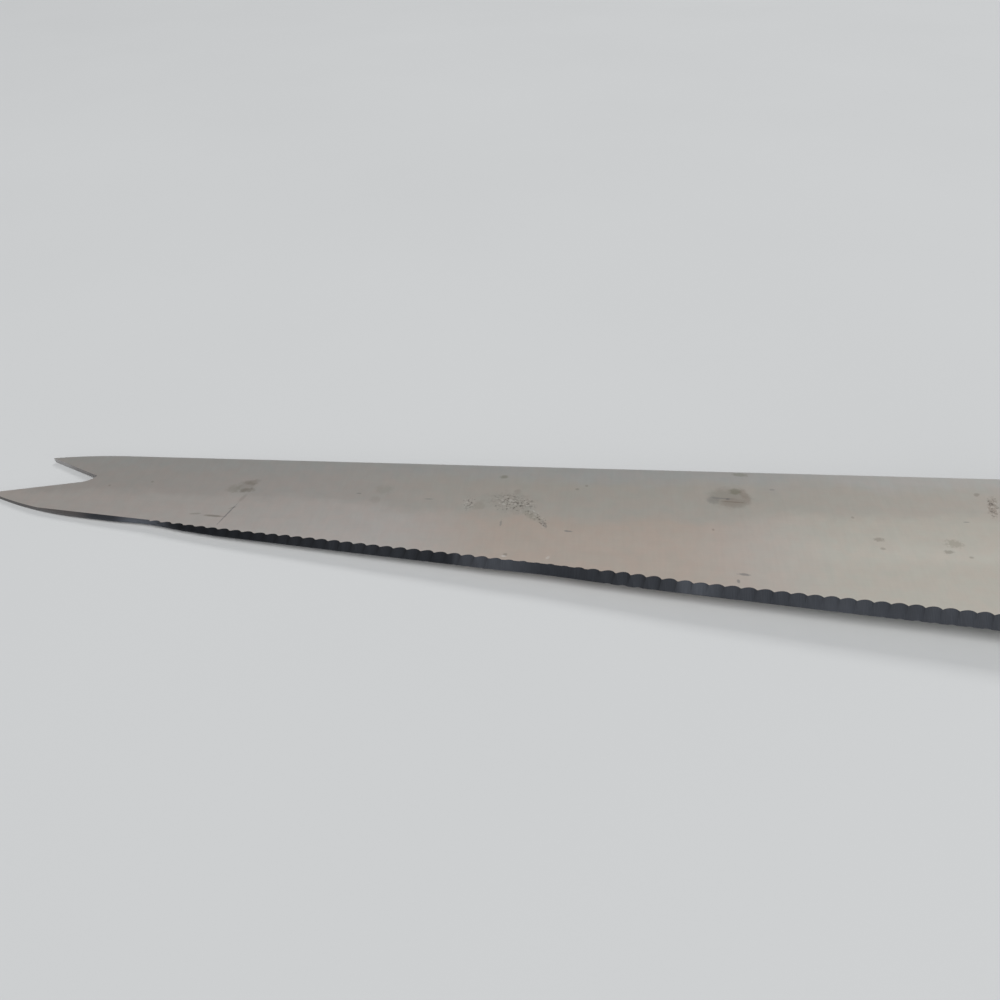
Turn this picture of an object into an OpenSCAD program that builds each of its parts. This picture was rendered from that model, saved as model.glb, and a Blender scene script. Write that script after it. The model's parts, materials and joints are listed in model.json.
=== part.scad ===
/* [Blade] */
// Length of the blade from its lower point to the bolster
blade_l = 203; // [170:1:240]
// Width of the blade at the heel
heel_w = 34.4; // [31:0.2:37]
// Width that the straight edge would leave at the lower point
tip_w = 14; // [13:0.1:15.5]
// Thickness of the tang and of the spine at the bolster
blade_t = 1.7; // [1.5:0.1:2.4]
// Thickness of the spine at the points
tip_t = 0.8; // [0.6:0.05:1.1]
// Thickness along the edge at the heel, before the teeth are ground
edge_t = 1.3; // [1:0.05:1.4]
// Radius of the belly that rises to the lower point
belly_r = 59; // [50:1:68]
// Gap between the heel and the bolster
heel_gap = 1.5; // [0.5:0.1:3]
// Radius in the corner between the heel and the bolster
choil_r = 2.5; // [1:0.1:4]

/* [Fork] */
// Distance from the lower point back to the bottom of the notch
notch_l = 16.1; // [14:0.1:19]
// Width of the upper prong at the notch
upper_prong_w = 5.5; // [4.8:0.1:6.2]
// Distance of the upper point behind the lower one
upper_back = 5.6; // [4:0.1:8]
// Distance of the upper point below the line of the spine
upper_drop = 1.1; // [0.6:0.1:1.6]
// Radius of the curve in the notch at the root of the lower prong
notch_r = 2.8; // [2.2:0.1:3.4]

/* [Teeth] */
// Distance from one tooth to the next
tooth_pitch = 2; // [1.6:0.1:3]
// Depth of the gullets as seen on the face of the blade
tooth_depth = 0.36; // [0.2:0.02:0.5]
// Depth worn off the points of the teeth
tooth_wear = 0.03; // [0.02:0.01:0.06]
// Angle between the ground flutes and the face of the blade
bevel_angle = 38; // [30:1:50]
// Plain stretch of edge between the lower point and the first tooth
plain_l = 30.2; // [26:0.2:40]

/* [Handle] */
// Length of the handle with its bolster
handle_l = 125; // [115:1:140]
// Length of the bolster
bolster_l = 14; // [12:0.5:16]
// Thickness of each bolster at its front edge
bolster_front_t = 1.4; // [0.8:0.1:2.5]
// Width of the handle at the front of the bolster
neck_w = 22; // [20:0.5:24]
// Width at the fullest part of the grip
grip_w = 24.5; // [22:0.5:27]
// Width at the waist behind the grip
waist_w = 21.5; // [19:0.5:24]
// Width at the swell of the butt
butt_w = 25.5; // [23:0.5:28]
// Thickness of each side of the handle behind the bolster
neck_t = 5.4; // [5:0.1:6.5]
// Thickness of each scale at the grip
grip_t = 6.4; // [5.5:0.1:7.5]
// Thickness of each scale at the waist
waist_t = 5.8; // [5.2:0.1:7]
// Thickness of each scale at the butt
butt_t = 6.6; // [5.5:0.1:7.5]
// Distance from the front of the bolster to the fullest part of the grip
grip_x = 44; // [38:1:50]
// Distance from the front of the bolster to the waist
waist_x = 79; // [72:1:86]
// Distance from the end of the handle to the swell of the butt
butt_back = 20; // [16:1:24]
// Length of the rounding at the end of the handle
end_l = 13; // [8:0.5:14]
// Depth of the centre line at the grip, below the spine
grip_drop = 13.4; // [12.5:0.1:14.5]
// Depth of the centre line at the waist, below the spine
waist_drop = 13.7; // [12.5:0.1:15]
// Depth of the centre line at the butt, below the spine
butt_drop = 16.2; // [15:0.1:17.5]

/* [Rivets] */
// Diameter of the rivet heads
head_d = 8; // [6:0.5:9]
// Depth of scale left under each rivet head
head_floor = 2.6; // [1.5:0.1:3.5]
// Diameter of the hollow rivet shank
shank_d = 5; // [4.4:0.1:5.4]
// Diameter of the solid rivet pin
pin_d = 3.2; // [2.6:0.1:3.6]
// Length of the pin in the hollow shank
pin_l = 4.4; // [3:0.1:4.8]
// Distance from the front of the bolster to the first rivet
rivet_x = 30; // [26:0.5:34]
// Distance from one rivet to the next
rivet_pitch = 31; // [27:0.5:34]
// Diameter of the pins through the bolsters
bolster_pin_d = 3; // [2:0.1:4]
// Distance between the pins through the bolsters
bolster_pin_pitch = 11; // [8:0.5:13]

/* [Hanging hole] */
// Diameter of the bore through the eyelet
bore_d = 5.5; // [4:0.1:6.5]
// Wall thickness of the eyelet
eyelet_wall = 1; // [0.7:0.1:1.4]
// Distance from the end of the handle to the middle of the hole
bore_back = 14; // [12:0.5:16]

/* [Clearances] */
// Gap around a rivet pin in its hollow shank
pin_gap = 0.02; // [0.01:0.01:0.05]
// Gap around shanks, pins and heads in the scales and the bolsters
hole_gap = 0.04; // [0.02:0.01:0.1]
// Gap around shanks, pins and eyelet in the tang
tang_gap = 0.1; // [0.05:0.05:0.3]

/* [Hidden] */
$fn = 64;

// Slack by which a cut runs past what it cuts
over = 1;
// Number of straight steps in an arc of the blade's outline
arc_steps = 14;
// Length of blade over which the spine drops to the upper point
spine_arc_l = 13.4;
// Directions of the inner edge of the lower prong, at its straight stretch and at the notch
prong_rise = 13;
notch_rise = 70;
// Slopes of the ground faces, along the blade and across it
slope_x = (blade_t - tip_t) / 2 / blade_l;
slope_y = (blade_t - edge_t) / 2 / heel_w;
// Straight part of the edge
edge_angle = atan((heel_w - tip_w) / blade_l);
// Rise of the belly and its length, from the lower point to the straight edge
belly_rise = 2.6;
belly_l = sqrt(2 * belly_r * belly_rise);
// The plain edge near the point lies inside the line of the ground edge, by the width of the bevel less the
// ease of its rim, and swings out to that line where the bevel opens
rim_ease = 0.2;
bevel_start = plain_l - 2;
bevel_run = 16;
plain_inset = 2 * half_t(bevel_start - blade_l, edge_y(bevel_start)) / tan(bevel_angle) - rim_ease;
// The flutes, seen along their own length
flute_sag = tooth_depth * sin(bevel_angle);
flute_r = (pow(tooth_pitch / 2, 2) + pow(flute_sag, 2)) / 2 / flute_sag;
first_tooth_x = -(blade_l - plain_l) / cos(edge_angle);
// Depth ground off along the plain edge, where it would have teeth
plain_cut = 0.17;
tooth_n = ceil((-first_tooth_x - heel_gap) / tooth_pitch);
// Share of the gullets' depth that reaches the cutting edge, and how much flatter than the bevel they run
// for that
foot_share = 0.35;
flute_rise = (1 - foot_share) * flute_sag;
bevel_l = 2 * half_t(-blade_l / 2, edge_y(blade_l / 2)) / sin(bevel_angle);
flute_fade = atan(flute_rise / bevel_l);
grind_h = 4;
grind_l = blade_l - belly_l / 2;

// Half thickness of the blade at a place measured from the bolster and the spine
function half_t(x, y) = blade_t / 2 + slope_x * x + slope_y * y;

// Height of the straight edge, of the plain edge and of the belly at a distance from the lower point
function edge_y(s) = -tip_w - s * tan(edge_angle);
function opening(s) = let (t = max(s - bevel_start, 0) / bevel_run) 1 - t * t * (3 - 2 * t);
function plain_y(s) = edge_y(s) + plain_inset * opening(s);
function belly_y(s) = plain_y(s) + pow(belly_l - s, 2) / 2 / belly_r;

// Behind its swell the butt tapers and thins by these amounts per millimetre
butt_taper = 0.06;
butt_thinning = 0.05;
// Rows of the handle: distance, depth of the centre line, half width, thickness of a side
butt_x = handle_l - butt_back;
end_row = [
    handle_l, -butt_drop - butt_back * butt_taper, butt_w / 2 - butt_back * butt_taper,
    butt_t - butt_back * butt_thinning
];
rows = [
    [0, -neck_w / 2, neck_w / 2, neck_t],
    [grip_x, -grip_drop, grip_w / 2, grip_t],
    [waist_x, -waist_drop, waist_w / 2, waist_t],
    [butt_x, -butt_drop, butt_w / 2, butt_t],
    end_row
];

// Smooth curve through the rows, for one of their columns
function row_before(x) = max([for (i = [0:len(rows) - 2]) rows[i][0] <= x ? i : 0]);
function row_slope(i, c) = i == 0 || i == len(rows) - 1
    ? 0
    : (rows[i + 1][c] - rows[i - 1][c]) / (rows[i + 1][0] - rows[i - 1][0]);
function along(x, c) =
    let (i = row_before(x), run = rows[i + 1][0] - rows[i][0], t = (x - rows[i][0]) / run)
    rows[i][c] * (2 * t * t * t - 3 * t * t + 1)
    + row_slope(i, c) * run * (t * t * t - 2 * t * t + t)
    + rows[i + 1][c] * (3 * t * t - 2 * t * t * t)
    + row_slope(i + 1, c) * run * (t * t * t - t * t);

// Roundness of the end of the handle, of its sides and of the scales' rims
end_n = 2.8;
side_n = 2.9;
end_x = handle_l - end_l;
// The rounding ends in a small flat, at this angle of the quarter turn
end_turn = 76;
// Share of a side's thickness that is left at the end of the handle
end_left = 0.35;
function end_share(x) = x <= end_x ? 1 : pow(1 - pow((x - end_x) / end_l, end_n), 1 / end_n);

// Places of the handle's sections along the bolster and along the scales
bolster_steps = 8;
scale_steps = 30;
end_steps = 9;
bolster_xs = [for (i = [0:bolster_steps]) bolster_l * i / bolster_steps];
scale_xs = [
    for (i = [0:scale_steps]) bolster_l + (end_x - bolster_l) * i / scale_steps,
    for (i = [1:end_steps]) end_x + end_l * pow(sin(end_turn * i / end_steps), 2 / end_n)
];

// Half width and side thickness of the handle, with its rounded end and its sloping bolster
function half_w(x) = along(x, 2) * end_share(x);
function centre_y(x) = along(x, 1);
function side_t(x) = x < bolster_l
    ? bolster_front_t + (along(bolster_l, 3) - bolster_front_t) * sin(90 * x / bolster_l)
    : along(x, 3) * (end_left + (1 - end_left) * end_share(x));

// One section of a side of the handle, from its upper rim over the crown to its lower rim
section_steps = 16;
function power(v, n) = sign(v) * pow(abs(v), 2 / n);
function section(x) = [
    for (j = [0:section_steps]) let (a = 180 * j / section_steps)
    [x, centre_y(x) + half_w(x) * power(cos(a), side_n), blade_t / 2 + side_t(x) * power(sin(a), side_n)]
];

// Height of the handle's surface over the middle of the tang
function crown_z(x, y) =
    blade_t / 2 + side_t(x) * pow(1 - pow(abs(y - centre_y(x)) / half_w(x), side_n), 1 / side_n);

// Rest: the handle's swell and the lower point both touch the surface below
tip_y = belly_y(0);
rest_angle = max([
    for (x = concat(bolster_xs, scale_xs))
    atan((blade_t / 2 + side_t(x) - half_t(-blade_l, tip_y)) / (x + blade_l))
]);
lift = blade_l * sin(rest_angle) + half_t(-blade_l, tip_y) * cos(rest_angle);
tail_x = scale_xs[len(scale_xs) - 1];
shift_x = (blade_l - tail_x) / 2 * cos(rest_angle);

// Rivets and the eyelet lie on the centre line
rivet_xs = [for (i = [0:2]) rivet_x + i * rivet_pitch];
pin_share = 0.6;
pin_x = bolster_l * pin_share;
pin_ys = [for (side = [1, -1]) centre_y(pin_x) + side * bolster_pin_pitch / 2];
bore_x = handle_l - bore_back;
eyelet_d = bore_d + 2 * eyelet_wall;
// Depth of the ends of pins and rivets below the surface round them
flush_inset = 0.05;
// The eyelet's ends lie a little below the crown of the scales
eyelet_inset = 0.25;
eyelet_half = blade_t / 2 + side_t(bore_x) - eyelet_inset;
head_z = blade_t / 2 + head_floor;
// Free length at the ends of the shank and of the pin
end_gap = 0.3;
// Overlap of a shank or a pin with its own head
head_overlap = 0.25;
// Reach of a cut that passes through a whole side of the handle
cut_reach = 2 * max(neck_t, grip_t, waist_t, butt_t);

// The knife lies on its right side, with the middle of its box over the origin
module lay_down() {
    translate([shift_x, heel_w / 2, lift])
        rotate([0, -rest_angle, 0])
            children();
}

// Frame of a ground face of the blade: 1 is the left face, which lies on top, and -1 the right one
module on_face(side) {
    translate([0, 0, side * blade_t / 2])
        rotate([side * atan(slope_y), -side * atan(slope_x), 0])
            children();
}

module blade_outline() {
    notch_centre = [notch_l, -upper_prong_w] - notch_r * [sin(notch_rise), -cos(notch_rise)];
    spine_arc_s = upper_back + spine_arc_l;
    points = [
        for (i = [0:arc_steps]) let (s = belly_l * i / arc_steps) [s, belly_y(s)],
        for (i = [0:arc_steps]) let (s = bevel_start + bevel_run * i / arc_steps) [s, plain_y(s)],
        [blade_l - heel_gap, edge_y(blade_l - heel_gap)],
        for (i = [0:arc_steps]) let (a = 90 * i / arc_steps)
            [blade_l - heel_gap + choil_r * (1 - cos(a)), -neck_w - choil_r * (1 - sin(a))],
        [blade_l + over + choil_r, -neck_w],
        [blade_l + over + choil_r, 0],
        for (i = [arc_steps:-1:0]) let (s = spine_arc_l * i / arc_steps)
            [upper_back + s, -upper_drop * pow(1 - s / spine_arc_l, 2)],
        for (i = [arc_steps:-1:0]) let (a = prong_rise + (notch_rise - prong_rise) * i / arc_steps)
            notch_centre + notch_r * [sin(a), -cos(a)]
    ];
    translate([-blade_l, 0])
        polygon(points);
}

module tang_outline() {
    xs = concat(bolster_xs, [for (i = [1:len(scale_xs) - 1]) scale_xs[i]]);
    polygon(concat(
        [for (x = xs) [x, centre_y(x) + half_w(x)]],
        [for (i = [len(xs) - 1:-1:0]) [xs[i], centre_y(xs[i]) - half_w(xs[i])]]
    ));
}

// Flat grind over the plain edge and the worn points of the teeth
module flat_grind() {
    translate([-grind_l, -tooth_wear])
        square([grind_l + over, grind_h]);
    translate([-grind_l, -plain_cut])
        square([grind_l + first_tooth_x, grind_h]);
}

// The row of gullets, seen along them at the cutting edge
module gullets() {
    for (i = [0:tooth_n - 1])
        translate([first_tooth_x + (i + 0.5) * tooth_pitch, flute_r - flute_sag + flute_rise])
            circle(r = flute_r);
}

// A cut of an outline that runs up the bevel, leaned against the edge
module along_edge(lean) {
    on_face(-1)
        translate([0, -heel_w, 0])
            rotate([0, 0, -edge_angle])
                rotate([90 + lean, 0, 0])
                    linear_extrude(height = 2 * grind_h, center = true)
                        children();
}

module bores(positions, r, depth) {
    for (p = positions)
        translate([p[0], p[1], -depth])
            cylinder(r = r, h = 2 * depth);
}

rivet_places = [for (x = rivet_xs) [x, centre_y(x)]];
pin_places = [for (y = pin_ys) [pin_x, y]];
bore_place = [bore_x, centre_y(bore_x)];

module blade() {
    span = blade_l + 2 * over;
    color("#9b978f")
        lay_down()
            difference() {
                union() {
                    translate([0, 0, -blade_t / 2])
                        linear_extrude(height = blade_t)
                            tang_outline();
                    difference() {
                        translate([0, 0, -blade_t / 2])
                            linear_extrude(height = blade_t)
                                blade_outline();
                        on_face(1)
                            translate([-span, -heel_w - over, 0])
                                cube([span, heel_w + 2 * over, blade_t]);
                        on_face(-1)
                            translate([-span, -heel_w - over, -blade_t])
                                cube([span, heel_w + 2 * over, blade_t]);
                        along_edge(bevel_angle)
                            flat_grind();
                        along_edge(bevel_angle - flute_fade)
                            gullets();
                    }
                }
                bores(rivet_places, shank_d / 2 + tang_gap, blade_t);
                bores(pin_places, bolster_pin_d / 2 + tang_gap, blade_t);
                bores([bore_place], eyelet_d / 2 + tang_gap, blade_t);
            }
}

// Solid body of one side of the handle between the sections at xs, on the left of the tang
module side_body(xs) {
    ring = section_steps + 1;
    last = ring * (len(xs) - 1);
    points = [for (x = xs) each section(x)];
    skin = [
        for (i = [0:len(xs) - 2]) for (j = [0:ring - 1])
        let (a = i * ring + j, b = i * ring + (j + 1) % ring, c = b + ring, d = a + ring)
        each [[a, b, c], [a, c, d]]
    ];
    front = [for (j = [1:ring - 2]) [0, j + 1, j]];
    back = [for (j = [1:ring - 2]) [last, last + j, last + j + 1]];
    polyhedron(points = points, faces = concat(skin, front, back), convexity = 4);
}

// side is 1 for the left half of the handle and -1 for the right half
module on_side(side) {
    mirror([0, 0, side > 0 ? 0 : 1])
        children();
}

module bolster(side) {
    color("#b3b0a8")
        lay_down()
            on_side(side)
                difference() {
                    side_body(bolster_xs);
                    bores(pin_places, bolster_pin_d / 2 + hole_gap, cut_reach);
                }
}

module scale_half(side) {
    color("#4d281a")
        lay_down()
            on_side(side)
                difference() {
                    side_body(scale_xs);
                    bores(rivet_places, shank_d / 2 + hole_gap, cut_reach);
                    for (p = rivet_places)
                        translate([p[0], p[1], head_z])
                            cylinder(d = head_d + 2 * hole_gap, h = grip_t);
                    bores([bore_place], eyelet_d / 2 + hole_gap, cut_reach);
                }
}

// Cuts its children off along the surface of the handle round a place, on the left side
module flush_at(p) {
    reach = 2 * head_d;
    slope_along = (crown_z(p[0] + over, p[1]) - crown_z(p[0] - over, p[1])) / 2 / over;
    slope_across = (crown_z(p[0], p[1] + over) - crown_z(p[0], p[1] - over)) / 2 / over;
    difference() {
        children();
        translate([p[0], p[1], crown_z(p[0], p[1]) - flush_inset])
            rotate([atan(slope_across), -atan(slope_along), 0])
                translate([-reach, -reach, 0])
                    cube([2 * reach, 2 * reach, reach]);
    }
}

module rivet_head(p) {
    flush_at(p)
        translate([p[0], p[1], head_z])
            cylinder(d = head_d, h = grip_t);
}

module rivet_tube(p) {
    color("#b8953f")
        lay_down()
            difference() {
                union() {
                    rivet_head(p);
                    translate([p[0], p[1], -head_z + end_gap])
                        cylinder(d = shank_d, h = 2 * head_z - end_gap + head_overlap);
                }
                translate([p[0], p[1], -head_z])
                    cylinder(d = pin_d + 2 * pin_gap, h = pin_l + end_gap);
            }
}

module rivet_pin(p) {
    color("#b8953f")
        lay_down()
            union() {
                on_side(-1)
                    rivet_head(p);
                translate([p[0], p[1], -head_z - head_overlap])
                    cylinder(d = pin_d, h = pin_l + head_overlap);
            }
}

// Pin through both bolsters, ground flush with their sides
module bolster_pin(p) {
    color("#a5a29a")
        lay_down()
            on_side(-1)
                flush_at(p)
                    on_side(-1)
                        flush_at(p)
                            translate([p[0], p[1], -cut_reach])
                                cylinder(d = bolster_pin_d, h = 2 * cut_reach);
}

module hanging_eyelet() {
    color("#b8953f")
        lay_down()
            translate([bore_place[0], bore_place[1], -eyelet_half])
                difference() {
                    cylinder(d = eyelet_d, h = 2 * eyelet_half);
                    translate([0, 0, -over])
                        cylinder(d = bore_d, h = 2 * (eyelet_half + over));
                }
}

blade();
bolster(1);  // bolster_left
bolster(-1);  // bolster_right
bolster_pin(pin_places[0]);  // bolster_pin_upper
bolster_pin(pin_places[1]);  // bolster_pin_lower
scale_half(1);  // scale_left
scale_half(-1);  // scale_right
rivet_tube(rivet_places[0]);  // rivet_front_tube
rivet_pin(rivet_places[0]);  // rivet_front_pin
rivet_tube(rivet_places[1]);  // rivet_middle_tube
rivet_pin(rivet_places[1]);  // rivet_middle_pin
rivet_tube(rivet_places[2]);  // rivet_rear_tube
rivet_pin(rivet_places[2]);  // rivet_rear_pin
hanging_eyelet();
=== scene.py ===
"""Carving knife with a forked tip and a fine scalloped edge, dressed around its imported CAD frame."""
import json
from functools import cached_property
from math import asin, atan, cos, pi, radians, sin, sqrt, tan

import bpy
from bpy.props import FloatProperty, FloatVectorProperty, IntProperty, PointerProperty
from mathutils import Matrix, Vector


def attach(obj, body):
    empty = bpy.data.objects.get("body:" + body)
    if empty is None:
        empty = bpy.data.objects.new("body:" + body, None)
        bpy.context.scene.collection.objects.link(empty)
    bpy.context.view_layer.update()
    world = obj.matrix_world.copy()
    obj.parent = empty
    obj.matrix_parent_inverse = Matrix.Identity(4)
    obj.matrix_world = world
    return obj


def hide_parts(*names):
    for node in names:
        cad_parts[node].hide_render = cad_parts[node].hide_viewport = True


bl_info = {
    "name": "Carving Knife",
    "version": (1, 0, 0),
    "blender": (4, 5, 0),
    "location": "3D View > Sidebar > Knife",
    "description": "Models a forked carving knife with a riveted handle, and the table that it lies on",
    "category": "Add Mesh",
}

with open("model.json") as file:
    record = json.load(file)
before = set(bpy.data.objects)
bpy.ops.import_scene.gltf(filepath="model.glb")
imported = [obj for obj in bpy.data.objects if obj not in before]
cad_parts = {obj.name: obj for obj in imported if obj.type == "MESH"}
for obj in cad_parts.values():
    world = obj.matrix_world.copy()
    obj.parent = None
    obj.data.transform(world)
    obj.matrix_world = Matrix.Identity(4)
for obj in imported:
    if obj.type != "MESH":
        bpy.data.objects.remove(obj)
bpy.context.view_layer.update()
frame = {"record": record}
MM = 0.001


def length(name, description, millimetres):
    """A length that a user would change, given in millimetres."""
    return FloatProperty(
        name=name, description=description, default=millimetres * MM, precision=5,
        unit="LENGTH", subtype="DISTANCE",
    )


def angle(name, description, value):
    """An angle that a user would change, given in degrees."""
    return FloatProperty(name=name, description=description, default=radians(value), unit="ROTATION",
                         subtype="ANGLE")


def share(name, description, value):
    """A share between nothing and all."""
    return FloatProperty(name=name, description=description, default=value, min=0, max=1, subtype="FACTOR")


def colour(name, description, value):
    """A colour that a user would change."""
    return FloatVectorProperty(name=name, description=description, default=value, size=3, min=0, max=1,
                               subtype="COLOR")


class KnifeBladeSizes(bpy.types.PropertyGroup):
    """Sizes of the blade and of its fork."""
    blade_l: length("Blade length", "From the lower point to the bolster", 203)
    heel_w: length("Heel width", "Width of the blade at the heel", 34.4)
    tip_w: length("Tip width", "Width that the straight edge would leave at the lower point", 14)
    blade_t: length("Stock", "Thickness of the tang and of the spine at the bolster", 1.7)
    tip_t: length("Point thickness", "Thickness of the spine at the points", 0.8)
    edge_t: length("Edge thickness", "Thickness along the edge at the heel", 1.3)
    belly_r: length("Belly radius", "Radius of the belly that rises to the lower point", 59)
    belly_rise: length("Belly rise", "Rise of the belly to the lower point", 2.6)
    heel_gap: length("Heel gap", "Gap between the heel and the bolster", 1.5)
    choil_r: length("Choil radius", "Radius in the corner between heel and bolster", 2.5)
    notch_l: length("Notch depth", "From the lower point back to the bottom of the notch", 16.1)
    upper_prong_w: length("Upper prong", "Width of the upper prong at the notch", 5.5)
    upper_back: length("Upper point", "Distance of the upper point behind the lower one", 5.6)
    upper_drop: length("Upper point drop", "Distance of the upper point below the spine", 1.1)
    spine_arc_l: length("Spine arc", "Length over which the spine drops to the upper point", 13.4)
    notch_r: length("Notch radius", "Radius of the curve at the root of the lower prong", 2.8)
    prong_rise: angle("Prong rise", "Direction of the inner edge of the lower prong", 13)
    notch_rise: angle("Notch rise", "Direction of that edge at the notch", 70)


class KnifeTeethSizes(bpy.types.PropertyGroup):
    """Sizes of the ground teeth."""
    tooth_pitch: length("Pitch", "Distance from one tooth to the next", 2)
    tooth_depth: length("Depth", "Depth of the gullets on the face of the blade", 0.36)
    foot_share: share("Depth at the edge", "Share of the gullets' depth that reaches the cutting edge", 0.35)
    tooth_wear: length("Wear", "Depth worn off the points of the teeth, across the flutes", 0.03)
    lean: share("Lean", "Lean of the gullets towards the handle, as a share of half a tooth", 0.2)
    bevel_angle: angle("Bevel", "Angle between the ground flutes and the face", 38)
    plain_l: length("Plain stretch", "From the lower point to the first tooth", 30.2)
    rim_ease: length("Rim ease", "Width of the bevel along the plain edge near the point", 0.2)
    plain_cut: length("Plain grind", "Depth ground off along the plain edge", 0.17)
    bevel_run: length("Bevel run", "Length over which the bevel opens", 16)
    facets: IntProperty(name="Facets", description="Faces across one flute", default=12, min=4, max=24)


class KnifeHandleSizes(bpy.types.PropertyGroup):
    """Sizes of the handle, its rivets and its hanging hole."""
    handle_l: length("Handle length", "Length of the handle with its bolster", 125)
    bolster_l: length("Bolster length", "Length of the bolster", 14)
    bolster_front_t: length("Bolster front", "Thickness of each bolster at its front edge", 1.4)
    neck_w: length("Neck width", "Width of the handle at the front of the bolster", 22)
    grip_w: length("Grip width", "Width at the fullest part of the grip", 24.5)
    waist_w: length("Waist width", "Width at the waist behind the grip", 21.5)
    butt_w: length("Butt width", "Width at the swell of the butt", 25.5)
    neck_t: length("Neck side", "Thickness of each side behind the bolster", 5.4)
    grip_t: length("Grip side", "Thickness of each side at the grip", 6.4)
    waist_t: length("Waist side", "Thickness of each side at the waist", 5.8)
    butt_t: length("Butt side", "Thickness of each side at the butt", 6.6)
    grip_x: length("Grip place", "From the bolster's front to the fullest part of the grip", 44)
    waist_x: length("Waist place", "From the bolster's front to the waist", 79)
    butt_back: length("Butt place", "From the end of the handle to the swell of the butt", 20)
    end_l: length("End rounding", "Length of the rounding at the end of the handle", 13)
    grip_drop: length("Grip drop", "Depth of the centre line at the grip, below the spine", 13.4)
    waist_drop: length("Waist drop", "Depth of the centre line at the waist", 13.7)
    butt_drop: length("Butt drop", "Depth of the centre line at the butt", 16.2)
    head_d: length("Rivet head", "Diameter of the rivet heads", 8)
    head_floor: length("Head floor", "Depth of scale left under each rivet head", 2.6)
    shank_d: length("Shank", "Diameter of the hollow rivet shank", 5)
    pin_d: length("Pin", "Diameter of the solid rivet pin", 3.2)
    pin_l: length("Pin length", "Length of the pin in the hollow shank", 4.4)
    rivet_x: length("First rivet", "From the bolster's front to the first rivet", 30)
    rivet_pitch: length("Rivet pitch", "Distance from one rivet to the next", 31)
    bolster_pin_d: length("Bolster pin", "Diameter of the pins through the bolsters", 3)
    bolster_pin_pitch: length("Bolster pins", "Distance between the pins through the bolsters", 11)
    bore_d: length("Bore", "Diameter of the bore through the eyelet", 5.5)
    eyelet_wall: length("Eyelet wall", "Wall thickness of the eyelet", 1)
    bore_back: length("Bore place", "From the end of the handle to the middle of the hole", 14)
    seam_ease: length("Seam ease", "Width of the softened edges where the pieces of the handle meet", 0.12)


class KnifeFinish(bpy.types.PropertyGroup):
    """Colours of the knife and of the table."""
    steel: colour("Steel", "Satin face of the blade", (0.62, 0.60, 0.565))
    # The flutes' dark, bluish colour is a painted dark reflection; the ground steel itself is no darker than
    # the face
    flute: colour("Flutes", "Coarse ground flutes of the teeth", (0.100, 0.108, 0.125))
    stain: colour("Stain", "Stains on the blade", (0.30, 0.27, 0.23))
    bolster: colour("Bolster", "Polished bolsters", (0.68, 0.67, 0.65))
    wood_light: colour("Light wood", "Light streaks of the scales", (0.20, 0.075, 0.032))
    wood_dark: colour("Dark wood", "Dark streaks of the scales", (0.035, 0.012, 0.008))
    brass: colour("Brass", "Rivets and eyelet", (0.72, 0.52, 0.22))
    tarnish: colour("Tarnish", "Dull patches on the brass", (0.34, 0.23, 0.10))
    table: colour("Table", "Surface that the knife lies on", (0.568, 0.580, 0.585))


def blade_sizes():
    """The sizes of the blade."""
    return bpy.context.scene.knife_blade


def teeth_sizes():
    """The sizes of the teeth."""
    return bpy.context.scene.knife_teeth


def handle_sizes():
    """The sizes of the handle."""
    return bpy.context.scene.knife_handle


def finish_colours():
    """The colours."""
    return bpy.context.scene.knife_finish


def smooth_step(t):
    """Rises smoothly from 0 to 1 while t does."""
    t = min(max(t, 0), 1)
    return t * t * (3 - 2 * t)


def bump(s, middle, reach):
    """A smooth rise to 1 at the middle of a stretch and back to 0 at its ends."""
    return smooth_step(1 - abs(s - middle) / reach)


def slope_along():
    """Slope of the ground faces along the blade."""
    blade = blade_sizes()
    return (blade.blade_t - blade.tip_t) / 2 / blade.blade_l


def slope_across():
    """Slope of the ground faces across the blade."""
    blade = blade_sizes()
    return (blade.blade_t - blade.edge_t) / 2 / blade.heel_w


def half_thickness(x, y):
    """Half thickness of the blade at a place measured from the bolster and the spine."""
    return blade_sizes().blade_t / 2 + slope_along() * x + slope_across() * y


def edge_slope():
    """Slope of the straight edge against the spine."""
    blade = blade_sizes()
    return (blade.heel_w - blade.tip_w) / blade.blade_l


def edge_y(s):
    """Height of the line of the ground edge at a distance from the lower point."""
    return -blade_sizes().tip_w - s * edge_slope()


# The bevel begins to open this far before the first tooth
BEVEL_LEAD = 2 * MM
# The hand of the grinder, by distance from the lower point in millimetres: middle, reach and amount, which is
# in millimetres too, and for the deeper gullets a share of their depth
EDGE_HOLLOWS = ((29.5, 7, 0.27), (44, 18, 0.2), (58, 14, 0.08), (76, 28, 0.2))
RIM_WANDER = ((44, 14, -0.12), (78, 11, 0.08), (109, 9, -0.17), (117, 13, -0.20), (128, 12, -0.15),
              (146, 8, 0.06), (170, 14, -0.12), (188, 10, 0.12))
WORN_TEETH = ((91, 12, 0.17),)
TOOTH_DRIFT = ((31, 14, 0.30), (62, 13, -0.22), (92, 10, -0.30), (101, 13, -0.32), (124, 9, 0.22),
               (138, 20, 0.38))
DEEP_TEETH = ((105, 8, 0.22), (36, 9, -0.12))


# The edge is drawn point by point up to this share of the blade's length, where its hollows end
HOLLOWS_END = 0.52


def by_hand(table, s):
    """Sum of the smooth rises of a table at a distance from the lower point."""
    return sum(amount * bump(s / MM, middle, reach) for middle, reach, amount in table)


def plain_edge_y(s):
    """Height of the edge before the teeth are ground: set in near the point, and hollow here and there."""
    blade, teeth = blade_sizes(), teeth_sizes()
    start = teeth.plain_l - BEVEL_LEAD
    inset = 2 * half_thickness(start - blade.blade_l, edge_y(start)) / tan(teeth.bevel_angle) - teeth.rim_ease
    opened = smooth_step((s - start) / teeth.bevel_run)
    return edge_y(s) + inset * (1 - opened) + by_hand(EDGE_HOLLOWS, s) * MM


def belly_length():
    """Length of the belly, from the lower point to the straight edge."""
    return sqrt(2 * blade_sizes().belly_r * blade_sizes().belly_rise)


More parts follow.
